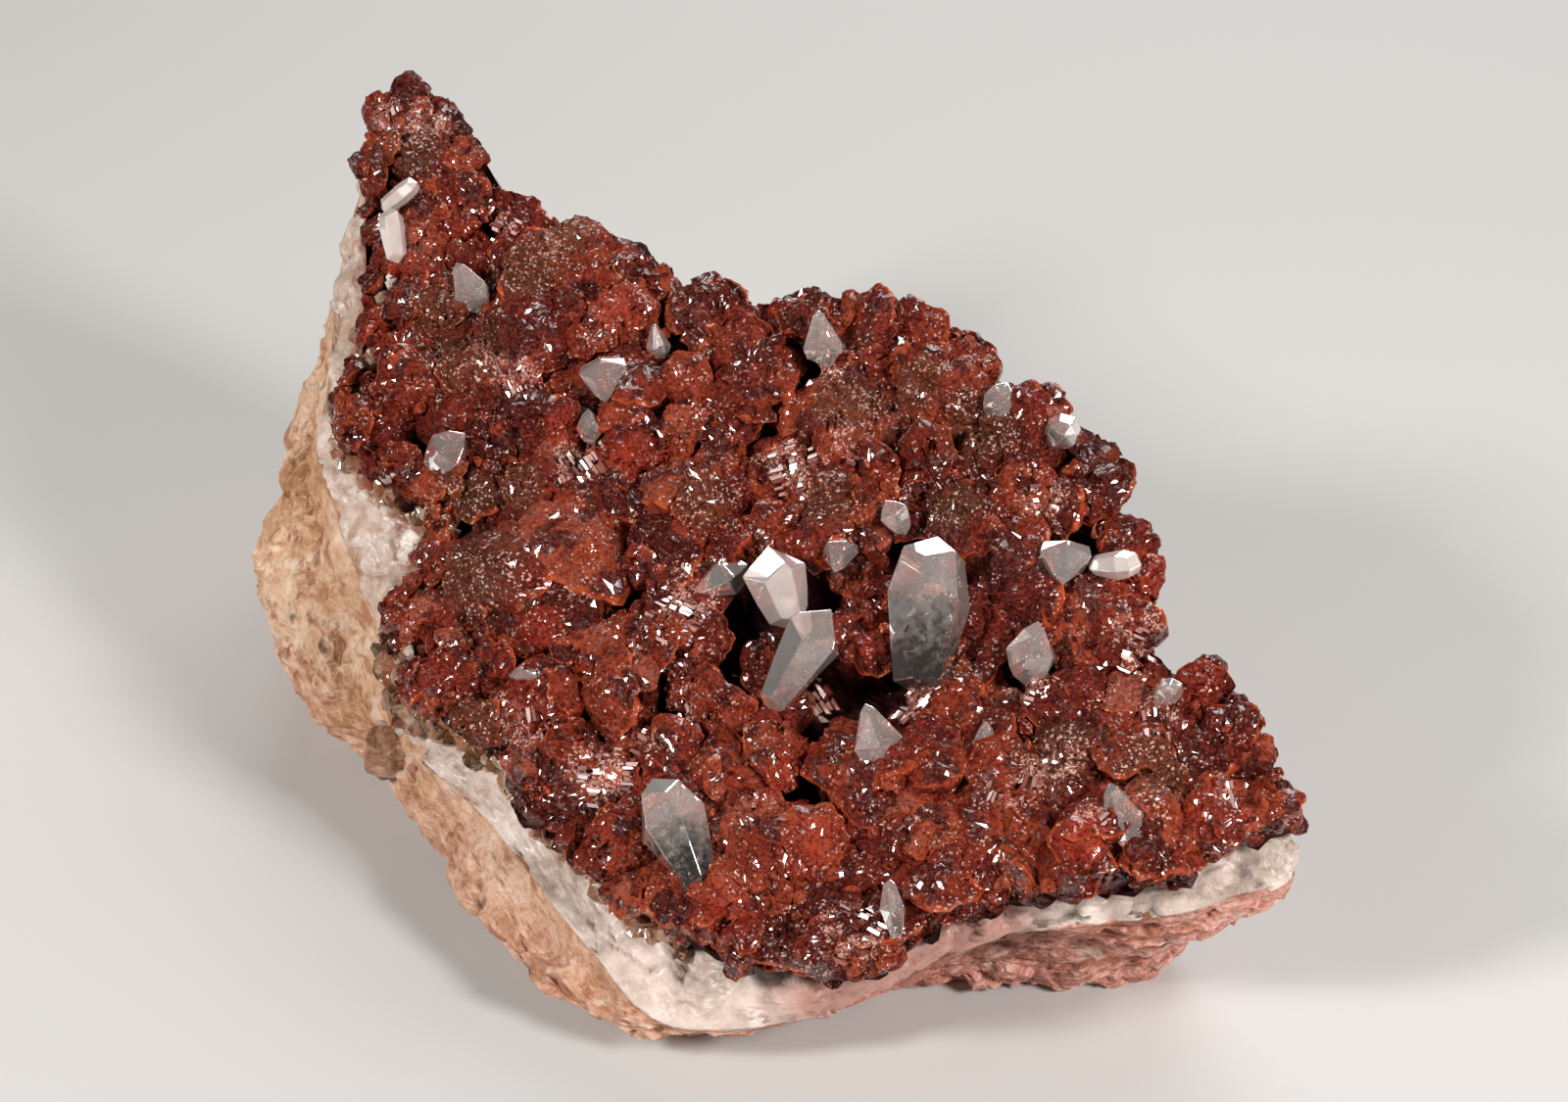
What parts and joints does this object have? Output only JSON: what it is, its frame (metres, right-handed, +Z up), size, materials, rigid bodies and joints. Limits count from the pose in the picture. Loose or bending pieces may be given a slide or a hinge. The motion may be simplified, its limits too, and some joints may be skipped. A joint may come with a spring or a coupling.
{
  "type": "roselite on calcite mineral specimen",
  "caption": "Broken lump of pale rock with a white calcite vein, a leaning crust of dark red lens-shaped crystals over it and clear calcite crystals standing on the crust.",
  "frame": {"origin": "on the surface that the specimen rests on, under the middle of its outer box", "axes": "+Z up; the leaning face with the red crust looks towards -Y and up; +X to the right when that face is looked at"},
  "size_m": [0.0663, 0.0628, 0.0349],
  "materials": {
    "rock": "matte, granular",
    "vein": "milky, satin",
    "crust": "drusy, glittering",
    "clear_calcite": "clear, smooth faces"
  },
  "bodies": {
    "root": {"matrix_rock": "rock", "calcite_vein": "vein", "roselite_crust": "crust", "calcite_crystal_01": "clear_calcite", "calcite_crystal_02": "clear_calcite", "calcite_crystal_03": "clear_calcite", "calcite_crystal_04": "clear_calcite", "calcite_crystal_05": "clear_calcite", "calcite_crystal_06": "clear_calcite", "calcite_crystal_07": "clear_calcite", "calcite_crystal_08": "clear_calcite", "calcite_crystal_09": "clear_calcite", "calcite_crystal_10": "clear_calcite", "calcite_crystal_11": "clear_calcite", "calcite_crystal_12": "clear_calcite", "calcite_crystal_13": "clear_calcite", "calcite_crystal_14": "clear_calcite", "calcite_crystal_15": "clear_calcite", "calcite_crystal_16": "clear_calcite", "calcite_crystal_17": "clear_calcite", "calcite_crystal_18": "clear_calcite", "calcite_crystal_19": "clear_calcite", "calcite_crystal_20": "clear_calcite", "calcite_crystal_21": "clear_calcite", "calcite_crystal_22": "clear_calcite", "calcite_crystal_23": "clear_calcite", "calcite_crystal_24": "clear_calcite", "calcite_crystal_25": "clear_calcite", "calcite_crystal_26": "clear_calcite"}
  },
  "joints": []
}
